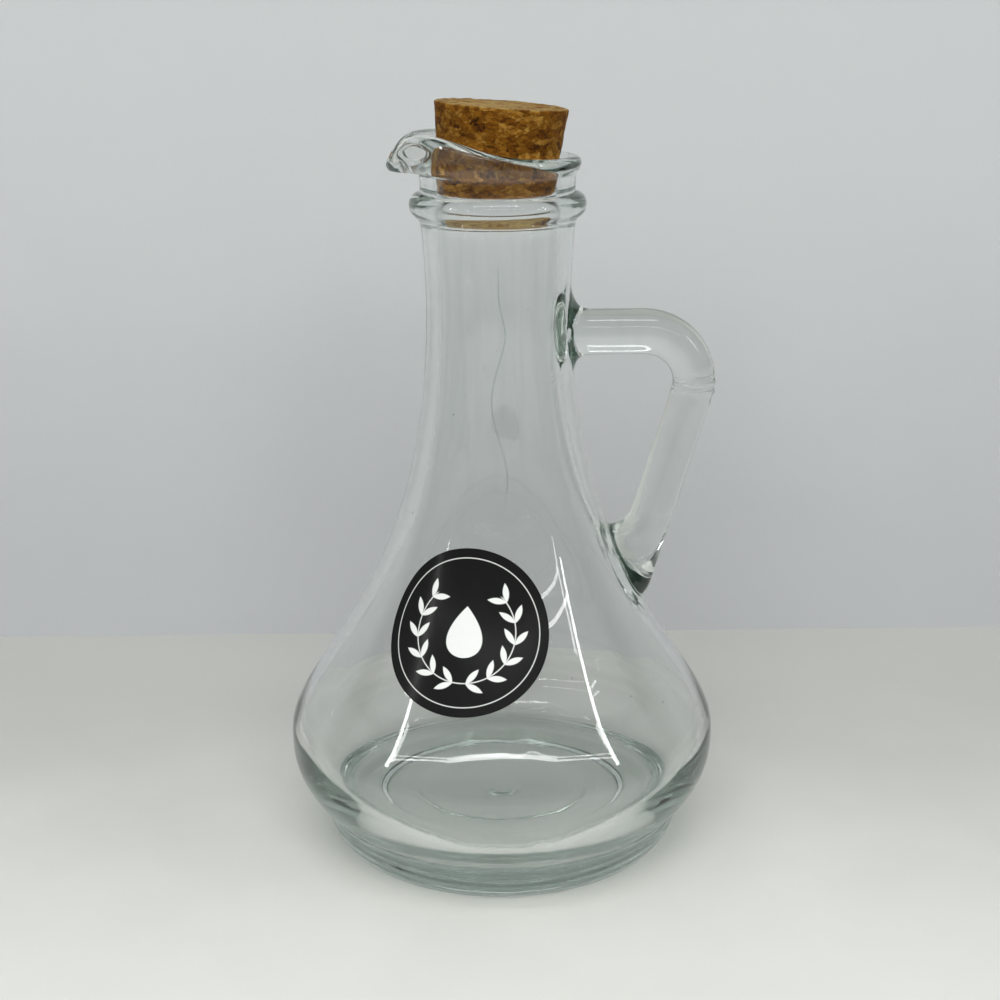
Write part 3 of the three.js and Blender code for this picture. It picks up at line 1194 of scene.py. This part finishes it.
    def add_seeds(self, body: bpy.types.Object) -> None:
        """Traps tiny drawn-out bubbles in the wall.

        Args:
            body: The joined glass.
        """
        golden_turn = math.pi * (3 - math.sqrt(5))
        low = self.sizes.belly_line + self.seed_margin
        high = self.sizes.collar_bottom - self.seed_margin
        parts = [body]
        for number in range(self.seeds):
            height_share, depth_share, size_share = (number * step % 1.0 for step in self.seed_steps)
            height = low + (high - low) * height_share
            turn = number * golden_turn
            depth = self.seed_depth[0] + self.seed_depth[1] * depth_share
            radius = self.wall.radius(height) - self.sizes.belly_wall * depth
            centre = Vector((radius * math.cos(turn), radius * math.sin(turn), height)) * MM
            size = self.seed_size * (self.seed_scale[0] + self.seed_scale[1] * size_share) * MM
            seed = new_piece("seed", bpy.ops.mesh.primitive_uv_sphere_add, segments=12, ring_count=8,
                             radius=size, location=centre, scale=(1.0, 1.0, self.seed_stretch))
            with editing(seed):
                bpy.ops.mesh.select_all(action="SELECT")
                bpy.ops.mesh.flip_normals()
            parts.append(seed)
        for part in parts:
            part.select_set(True)
        bpy.context.view_layer.objects.active = body
        bpy.ops.object.join()

    def rod_path(self) -> tuple[Callable[[float], tuple[Vector, Vector]], dict[str, float]]:
        """Lays the rod's middle line: out from the neck, round the bend and down to the shoulder.

        Returns:
            A function from a station to its point and direction, and the stations of the main places.
        """
        arm_height = self.sizes.collar_bottom - self.arm_below_collar
        bend_x = self.sizes.belly_radius - self.handle_inset - self.rod_radius - self.bend_radius
        start_x = self.wall.radius(arm_height) - self.root_depth
        sweep = math.pi / 2 + self.leg_lean
        heading = Vector((-math.sin(self.leg_lean), 0.0, -math.cos(self.leg_lean)))
        centre = Vector((bend_x, 0.0, arm_height - self.bend_radius))
        leg_side = Vector((math.cos(self.leg_lean), 0.0, -math.sin(self.leg_lean)))
        leg_top = centre + self.bend_radius * leg_side
        reach = 0.0
        while (leg_top + reach * heading).x > self.wall.radius((leg_top + reach * heading).z):
            reach += self.leg_step
        bend_start = bend_x - start_x
        bend_end = bend_start + self.bend_radius * sweep
        marks = {
            "arm_foot": self.root_depth,
            "bend_start": bend_start,
            "bend_end": bend_end,
            "ridge": bend_start + self.bend_radius * math.pi / 2 + self.ridge_lower,
            "leg_foot": bend_end + reach,
            "end": bend_end + reach + self.root_depth,
        }

        def at(station: float) -> tuple[Vector, Vector]:
            """The point and direction at a station."""
            if station <= bend_start:
                return Vector((start_x + station, 0.0, arm_height)), Vector((1.0, 0.0, 0.0))
            if station <= bend_end:
                turn = math.pi / 2 - (station - bend_start) / self.bend_radius
                out = Vector((math.cos(turn), 0.0, math.sin(turn)))
                return centre + self.bend_radius * out, Vector((out.z, 0.0, -out.x))
            return leg_top + (station - bend_end) * heading, heading

        return at, marks

    def rod_section(self, station: float, marks: dict[str, float]) -> tuple[float, float, float]:
        """The rod's section: it thins round the bend and spreads at both ends, with a rounded heel.

        Args:
            station: The place along the rod.
            marks: The stations of the main places.

        Returns:
            Its half depth, its half width, and how far it is set inwards.
        """
        thinning = (self.rod_radius - self.leg_radius) * smoothstep(
            station, marks["bend_start"], marks["bend_end"])
        radius = self.rod_radius - thinning
        near = max(self.arm_fillet - max(station - marks["arm_foot"], 0.0), 0.0)
        arm = self.arm_fillet - math.sqrt(self.arm_fillet ** 2 - near ** 2)
        foot = marks["leg_foot"]
        leg = self.leg_flare * min(max(1 - (foot - station) / self.leg_flare_length, 0.0), 1.0) ** 2
        crotch = (station - foot + self.crotch_start) / self.crotch_length
        fillet = self.crotch_flare * min(max(crotch, 0.0), 1.0) ** 2
        heel = self.heel_round * min(max((station - foot) / self.heel_length, 0.0), 1.0) ** 2
        width = radius + self.arm_side_share * arm + leg
        return radius + arm + (fillet - heel) / 2, width, (fillet + heel) / 2 - thinning

    def pull_rod(self) -> bpy.types.Object:
        """Extrudes a disc into a straight rod, then bends it along its path.

        Returns:
            The rod, with both ends inside the wall.
        """
        at, marks = self.rod_path()
        count = round(marks["end"] / self.rod_step)
        rod = new_piece("handle_rod", bpy.ops.mesh.primitive_circle_add,
                        vertices=self.rod_sides, radius=1.0, fill_type="NGON")
        with editing(rod):
            bpy.ops.mesh.select_all(action="SELECT")
            for _ in range(count):
                bpy.ops.mesh.extrude_region_move(TRANSFORM_OT_translate={"value": (0, 0, 1 / count)})
            for end in (0.0, 1.0):
                select_vertices(rod, lambda place: abs(place.z - end) < 0.5 / count)
                divide_disc(1.0, self.root_rings)

        def point(across: float, aside: float, station: float) -> Vector:
            """A point of the bent rod, by its place in the section and its station."""
            centre, heading = at(station)
            depth, width, shift = self.rod_section(station, marks)
            ridges = sum(hill(station - marks["ridge"] - side * self.ridge_apart / 2, self.ridge_spread)
                         for side in (-1, 1))
            ridges *= self.ridge_height * smoothstep(-across, *self.ridge_side)
            inwards = Vector((heading.z, 0.0, -heading.x))
            section = inwards * (shift + (depth + ridges) * across)
            return centre + section + Vector((0.0, (width + ridges) * aside, 0.0))

        def root(across: float, aside: float, deep: float, clear: float) -> float:
            """The station where a fibre of the rod is sunk in the wall, between a deep and a clear one."""
            for _ in range(self.root_halvings):
                middle = (deep + clear) / 2
                place = point(across, aside, middle)
                sunk = self.wall.radius(place.z) - math.hypot(place.x, place.y)
                deep, clear = (middle, clear) if sunk > self.root_sunk else (deep, middle)
            return deep

        for vertex in rod.data.vertices:
            across, aside, share = vertex.co
            start = root(across, aside, 0.0, marks["bend_start"])
            end = root(across, aside, marks["end"], marks["bend_end"])
            station = start + (end - start) * share
            away = station - marks["ridge"]
            station -= self.ridge_crowding * away * hill(away, self.ridge_zone)
            vertex.co = point(across, aside, station) * MM
        with editing(rod):
            face_outwards()
        return rod

    def fuse(self, body: bpy.types.Object, rod: bpy.types.Object) -> None:
        """Joins the rod to the body and rounds the seams, as hot glass flows.

        Args:
            body: The body, which keeps the joined glass.
            rod: The rod, which is used up.
        """
        apply_modifier(body, "BOOLEAN", operation="UNION", solver="EXACT", object=rod)
        bpy.data.objects.remove(rod)
        seam = self.seam_places(body)
        tree = KDTree(len(seam))
        for number, place in enumerate(seam):
            tree.insert(place, number)
        tree.balance()

        def near_seam(reach: float) -> Callable[[Vector], bool]:
            """A test for places within reach of the seam."""
            return lambda place: tree.find(place)[2] < reach * MM

        with editing(body):
            select_vertices(body, near_seam(self.seam_reach * 2))
            bpy.ops.mesh.remove_doubles(threshold=self.seam_merge * MM)
            bpy.ops.mesh.quads_convert_to_tris()
            for reach, repeat in self.seam_passes:
                select_vertices(body, near_seam(self.seam_reach * reach))
                bpy.ops.mesh.vertices_smooth(factor=0.5, repeat=repeat)
            face_outwards()

    def seam_places(self, body: bpy.types.Object) -> list[Vector]:
        """Finds where rod and wall meet, by the sharp hollow edges between them.

        Args:
            body: The joined glass.

        Returns:
            The places of the seam's vertices.
        """
        mesh = bmesh.new()
        mesh.from_mesh(body.data)
        low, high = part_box("handle")
        seam = []
        for edge in mesh.edges:
            middle = (edge.verts[0].co + edge.verts[1].co) / 2
            inside_line = (self.wall.radius(middle.z / MM) - self.seam_depth) * MM
            outside = math.hypot(middle.x, middle.y) > inside_line
            if not (outside and middle.x > low.x and low.z < middle.z < high.z):
                continue
            if len(edge.link_faces) == 2 and edge.calc_face_angle_signed() < -self.seam_turn:
                seam += [vertex.co.copy() for vertex in edge.verts]
        mesh.free()
        return seam

    def build(self) -> bpy.types.Object:
        """Makes the joined glass.

        Returns:
            The finished piece.
        """
        body = self.blow_body()
        self.ripple(body)
        move_vertices(body, self.tool_lip)
        self.fuse(body, self.pull_rod())
        self.add_seeds(body)
        polish(body, self.smooth_angle, self.finish.material())
        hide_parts("glass_body", "handle")
        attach(body, Body.BOTTLE.value)
        return body


@dataclass
class CorkStopper:
    """A tapered stopper of pressed cork, pushed into the mouth a little out of true."""

    sizes: BottleSizes
    finish: CorkFinish = CorkFinish()
    length: float = 24.5
    insertion: float = 7.0
    taper: float = math.radians(7.15)
    lean: float = field(default_factory=lambda: math.asin(frame["joints"][0]["axis"][0]))
    bore_gap: float = 0.3
    edge: float = 0.6
    sides: int = 144
    rows: int = 44
    end_rings: int = 14
    end_facing: tuple[float, float] = (0.6, 0.95)
    chips: tuple[tuple[str, float, float, float], ...] = (
        ("VORONOI", 2.6, 0.28, 0.35), ("CLOUDS", 1.1, 0.22, 0.5), ("STUCCI", 4.5, 0.18, 0.5))
    smooth_angle: float = math.radians(60)

    def turn_blank(self) -> bpy.types.Object:
        """Turns the plain cone, with rings of faces fine enough to be chipped.

        Returns:
            The upright cone, with the seat's height at zero.
        """
        slope = math.tan(self.taper)
        seat = self.sizes.mouth_bore_radius - self.bore_gap
        bottom = seat - self.insertion * slope
        top = bottom + self.length * slope
        middle = self.length / 2 - self.insertion
        cork = new_piece(
            "cork_granules", bpy.ops.mesh.primitive_cone_add, vertices=self.sides, radius1=bottom * MM,
            radius2=top * MM, depth=self.length * MM, location=(0, 0, middle * MM))
        bpy.ops.object.transform_apply(location=True, rotation=True, scale=True)
        ends = (-self.insertion * MM, (self.length - self.insertion) * MM)
        with editing(cork):
            self.select_edges(cork, lambda a, b: abs(a.z - b.z) < MM)
            bpy.ops.mesh.bevel(offset=self.edge * MM, segments=3, profile=0.5)
            self.select_edges(cork, lambda a, b: abs(a.z - b.z) > self.length * MM / 2)
            bpy.ops.mesh.subdivide(number_cuts=self.rows)
            for end in ends:
                bpy.ops.mesh.select_all(action="DESELECT")
                mesh = bmesh.from_edit_mesh(cork.data)
                for face in mesh.faces:
                    near = abs(face.calc_center_median().z - end) < MM
                    face.select_set(near and len(face.verts) == self.sides)
                bmesh.update_edit_mesh(cork.data)
                divide_disc((top if end > 0 else bottom) * MM, self.end_rings)
            face_outwards()
        return cork

    @staticmethod
    def select_edges(piece: bpy.types.Object, test: Callable[[Vector, Vector], bool]) -> None:
        """Selects edges by their two ends, in edit mode.

        Args:
            piece: The piece in edit mode.
            test: Says whether an edge between two places is selected.
        """
        bpy.ops.mesh.select_mode(type="EDGE")
        bpy.ops.mesh.select_all(action="DESELECT")
        mesh = bmesh.from_edit_mesh(piece.data)
        for edge in mesh.edges:
            edge.select_set(test(edge.verts[0].co, edge.verts[1].co))
        bmesh.update_edit_mesh(piece.data)

    def mark_ends(self, cork: bpy.types.Object) -> None:
        """Stores which vertices lie on the cut ends, for the finish.

        Args:
            cork: The blank.
        """
        marks = cork.data.attributes.new(self.finish.end_attribute, "FLOAT", "POINT")
        for vertex, mark in zip(cork.data.vertices, marks.data):
            mark.value = smoothstep(abs(vertex.normal.z), *self.end_facing)

    def chip(self, cork: bpy.types.Object) -> None:
        """Roughens the blank: shallow facets of granules and small chips.

        Args:
            cork: The blank.
        """
        for kind, size, depth, level in self.chips:
            texture = bpy.data.textures.new(f"cork_{kind.lower()}", kind)
            texture.noise_scale = size * MM
            apply_modifier(cork, "DISPLACE", texture=texture, texture_coords="LOCAL",
                           strength=depth * MM, mid_level=level)

    def build(self) -> bpy.types.Object:
        """Makes the stopper and seats it in the mouth.

        Returns:
            The finished piece.
        """
        cork = self.turn_blank()
        self.mark_ends(cork)
        self.chip(cork)
        slope = math.tan(self.taper)
        seat = self.sizes.mouth_bore_radius - self.bore_gap
        set_back = -seat * slope * math.tan(self.lean)
        pick(cork)
        cork.rotation_euler = (0.0, self.lean, 0.0)
        cork.location = Vector((set_back, 0.0, self.sizes.seat_height)) * MM
        bpy.ops.object.transform_apply(location=True, rotation=True, scale=True)
        polish(cork, self.smooth_angle, self.finish.material())
        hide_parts("cork_stopper")
        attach(cork, Body.STOPPER.value)
        return cork


@dataclass
class Sticker:
    """A round film sticker, laid on the shoulder as paper lies on a cone."""

    wall: WallLine
    finish: StickerFinish = StickerFinish()
    radius: float = 21.9
    rise: float = 46.0
    turn: float = math.radians(-14.4)
    thickness: float = 0.22
    sunk: float = 0.04
    sides: int = 128
    rings: int = 20
    back_facing: float = 0.3
    smooth_angle: float = math.radians(40)

    def cut(self) -> bpy.types.Object:
        """Cuts the flat disc in rings of faces, with its print laid out flat.

        Returns:
            The flat disc, lying in the XY plane.
        """
        film = new_piece("sticker_film", bpy.ops.mesh.primitive_circle_add, vertices=self.sides,
                         radius=self.radius * MM, fill_type="NGON")
        with editing(film):
            bpy.ops.mesh.select_all(action="SELECT")
            divide_disc(self.radius * MM, self.rings)
        layer = film.data.uv_layers.new(name=self.finish.uv_name)
        for loop, uv in zip(film.data.loops, layer.data):
            place = film.data.vertices[loop.vertex_index].co / (self.radius * MM)
            uv.uv = (place.x, place.y)
        return film

    def lay(self, film: bpy.types.Object) -> None:
        """Rolls the disc onto the wall without stretching it.

        Args:
            film: The flat disc.
        """
        foot, heading = self.wall.at(self.rise)
        cone_slope = -heading.x
        slant = foot.x / cone_slope

        def roll(place: Vector) -> Vector:
            """Takes a point of the flat disc to the wall."""
            from_apex = math.hypot(place.x, slant - place.y)
            turn = self.turn + math.atan2(place.x, slant - place.y) / cone_slope
            point, along = self.wall.at(self.rise + slant - from_apex)
            radius = point.x - self.sunk * along.y
            height = point.y + self.sunk * along.x
            return Vector((radius * math.sin(turn), -radius * math.cos(turn), height))

        move_vertices(film, roll)

    def clear_back(self, film: bpy.types.Object) -> None:
        """Moves the print off the faces that lie on the glass.

        Args:
            film: The sticker with its thickness.
        """
        layer = film.data.uv_layers[self.finish.uv_name].data
        for face in film.data.polygons:
            outwards = Vector((face.center.x, face.center.y, 0.0)).normalized()
            if face.normal.dot(outwards) < -self.back_facing:
                for index in face.loop_indices:
                    layer[index].uv = self.finish.bare_place

    def build(self) -> bpy.types.Object:
        """Makes the sticker on the wall.

        Returns:
            The finished piece.
        """
        film = self.cut()
        self.lay(film)
        apply_modifier(film, "SOLIDIFY", thickness=self.thickness * MM, offset=1.0)
        with editing(film):
            face_outwards()
        self.clear_back(film)
        polish(film, self.smooth_angle, self.finish.material())
        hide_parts("label")
        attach(film, Body.BOTTLE.value)
        return film


@dataclass(frozen=True)
class Lamp:
    """A soft rectangular lamp between two ends, which faces a point of the bottle. Sizes are in metres."""

    name: str
    start: Vector
    end: Vector
    width: float
    power: float
    aim: Vector = Vector((0.0, 0.0, 0.09))
    mirrored: bool = True
    transmitted: bool = True

    def hang(self) -> None:
        """Puts the lamp in the scene."""
        along = self.end - self.start
        light = bpy.data.lights.new(self.name, "AREA")
        light.shape = "RECTANGLE"
        light.size = along.length
        light.size_y = self.width
        light.energy = self.power
        lamp = bpy.data.objects.new(self.name, light)
        middle = (self.start + self.end) / 2
        across = along.cross(middle - self.aim).normalized()
        backwards = along.cross(across).normalized()
        if backwards.dot(middle - self.aim) < 0:
            across, backwards = -across, -backwards
        axes = Matrix((along.normalized(), across, backwards)).transposed().to_4x4()
        lamp.matrix_world = Matrix.Translation(middle) @ axes
        lamp.visible_glossy = self.mirrored
        lamp.visible_transmission = self.transmitted
        bpy.context.scene.collection.objects.link(lamp)


@dataclass
class Studio:
    """Pale table, grey wall and soft lamps, seen by the photograph's camera. Sizes are in metres."""

    wall_distance: float = 0.148
    wall_turn: float = math.radians(0.4)
    stage_size: float = 3.0
    stage_cuts: int = 8
    table_gap: float = 0.00008
    wall_height: float = 1.6
    focal_pixels: float = 1678.47
    image_pixels: float = 1000.0
    camera_distance: float = 0.440
    camera_height: float = 0.22903
    camera_pitch: float = 0.292959
    camera_roll: float = 0.007874
    sensor: float = 36.0
    light_bounces: int = 32
    room_low: Colour = (0.10, 0.118, 0.109)
    room_high: Colour = (0.70, 0.72, 0.71)
    room_heights: tuple[float, float] = (0.02, 0.70)
    room_front: tuple[float, float] = (0.25, 0.85)

    def flat_piece(self, name: str, place: Matrix, finish: StageFinish) -> bpy.types.Object:
        """Makes one flat surface of the stage from a square of one metre.

        Args:
            name: The surface's name.
            place: What stretches the square and puts it in its place.
            finish: The surface's finish.

        Returns:
            The surface.
        """
        surface = new_piece(name, bpy.ops.mesh.primitive_plane_add, size=1.0)
        with editing(surface):
            bpy.ops.mesh.select_all(action="SELECT")
            bpy.ops.mesh.subdivide(number_cuts=self.stage_cuts)
        surface.data.transform(place)
        surface.data.materials.append(finish.material())
        return surface

    def lay_table(self) -> None:
        """Lays the table that the bottle stands on."""
        place = Matrix.Translation((0.0, 0.0, -self.table_gap))
        scale = Matrix.Diagonal((self.stage_size, self.stage_size, 1.0, 1.0))
        # Painted shade: the table is painted darker towards the wall and lighter towards the front.
        finish = StageFinish("table_top", axis=1, places=(0.105, -0.16), far=(0.50, 0.505, 0.478),
                             near=(0.79, 0.80, 0.757), roughness=0.5)
        table = self.flat_piece("table", place @ scale, finish)

    def raise_wall(self) -> None:
        """Stands the wall behind the table."""
        place = Matrix.Translation((0.0, self.wall_distance, self.wall_height / 2))
        turn = Matrix.Rotation(self.wall_turn, 4, "Z")
        stand = Matrix.Rotation(math.pi / 2, 4, "X")
        scale = Matrix.Diagonal((self.stage_size, self.wall_height, 1.0, 1.0))
        # Painted shade: the wall is painted darker at the bottom and lighter towards the top.
        finish = StageFinish("wall_paint", axis=2, places=(0.0, 0.22), far=(0.525, 0.534, 0.547),
                             near=(0.605, 0.619, 0.629), roughness=0.8)
        wall = self.flat_piece("back_wall", place @ turn @ stand @ scale, finish)

    def light(self) -> None:
        """Hangs the lamps and sets the room's own light."""
        left, right = (Vector((side * 0.6, -0.95, 0.76)) for side in (-1, 1))
        lamps = [
            Lamp("overhead", Vector((-0.9, 0.0, 1.5)), Vector((0.9, 0.0, 1.5)), width=1.1, power=2.0,
                 aim=Vector((0, 0, 0)), mirrored=False),
            Lamp("front", Vector((-0.8, -1.3, 1.1)), Vector((0.8, -1.3, 1.1)), width=0.8, power=14.0,
                 mirrored=False, transmitted=False),
            Lamp("tube", Vector((-0.6, -0.55, 1.5)), Vector((0.5, -0.55, 1.5)), width=0.09, power=4.0),
            Lamp("front_strip", left, right, width=0.03, power=1.2),
        ]
        for side, name, front in ((-1, "left", left), (1, "right", right)):
            corner, low, high = (Vector((side * 1.0, -0.485, height)) for height in (0.51, 0.412, 0.78))
            lamps += [
                Lamp(f"corner_strip_{name}", front, corner, width=0.015, power=0.35),
                Lamp(f"side_strip_{name}", low, high, width=0.04, power=0.87),
            ]
        for lamp in lamps:
            lamp.hang()
        self.light_room()

    def light_room(self) -> None:
        """Gives the room's own light, dim at the horizon and bright overhead."""
        world = bpy.data.worlds.new("room")
        bpy.context.scene.world = world
        board = NodeBoard(world)
        direction = board.add("ShaderNodeTexCoord", output="Generated")
        _, back, up = board.split(direction)
        bright = up.between(*self.room_heights) * (back * -1.0).between(*self.room_front, 1.0, 0.3)
        colour = board.mix(bright, self.room_low, self.room_high)
        background = board.add("ShaderNodeBackground", {}, {"Color": colour, "Strength": 1.0})
        board.add("ShaderNodeOutputWorld", {}, {"Surface": background})

    def set_camera(self) -> None:
        """Puts the camera where the photograph was taken from."""
        lens = bpy.data.cameras.new("camera")
        lens.sensor_width = self.sensor
        lens.lens = self.sensor * self.focal_pixels / self.image_pixels
        camera = bpy.data.objects.new("camera", lens)
        tilt = Matrix.Rotation(math.pi / 2 - self.camera_pitch, 4, "X")
        place = Matrix.Translation((0.0, -self.camera_distance, self.camera_height))
        camera.matrix_world = place @ tilt @ Matrix.Rotation(-self.camera_roll, 4, "Z")
        bpy.context.scene.collection.objects.link(camera)
        bpy.context.scene.camera = camera

    def build(self) -> None:
        """Sets up the whole stage."""
        self.set_camera()
        self.lay_table()
        self.raise_wall()
        self.light()
        scene = bpy.context.scene
        scene.view_settings.view_transform = "Standard"
        scene.cycles.max_bounces = self.light_bounces
        scene.cycles.transmission_bounces = self.light_bounces
        scene.cycles.glossy_bounces = self.light_bounces
        scene.cycles.blur_glossy = 0.0


def main() -> None:
    """Builds the stage and every piece in order."""
    logging.basicConfig(level=logging.INFO, format="%(name)s: %(message)s")
    Studio().build()
    sizes = BottleSizes()
    wall = WallLine(sizes)
    for maker in (BlownGlass(sizes, wall), CorkStopper(sizes), Sticker(wall)):
        piece = maker.build()
        log.info("%s: %d faces", piece.name, len(piece.data.polygons))


if __name__ == "__main__":
    main()
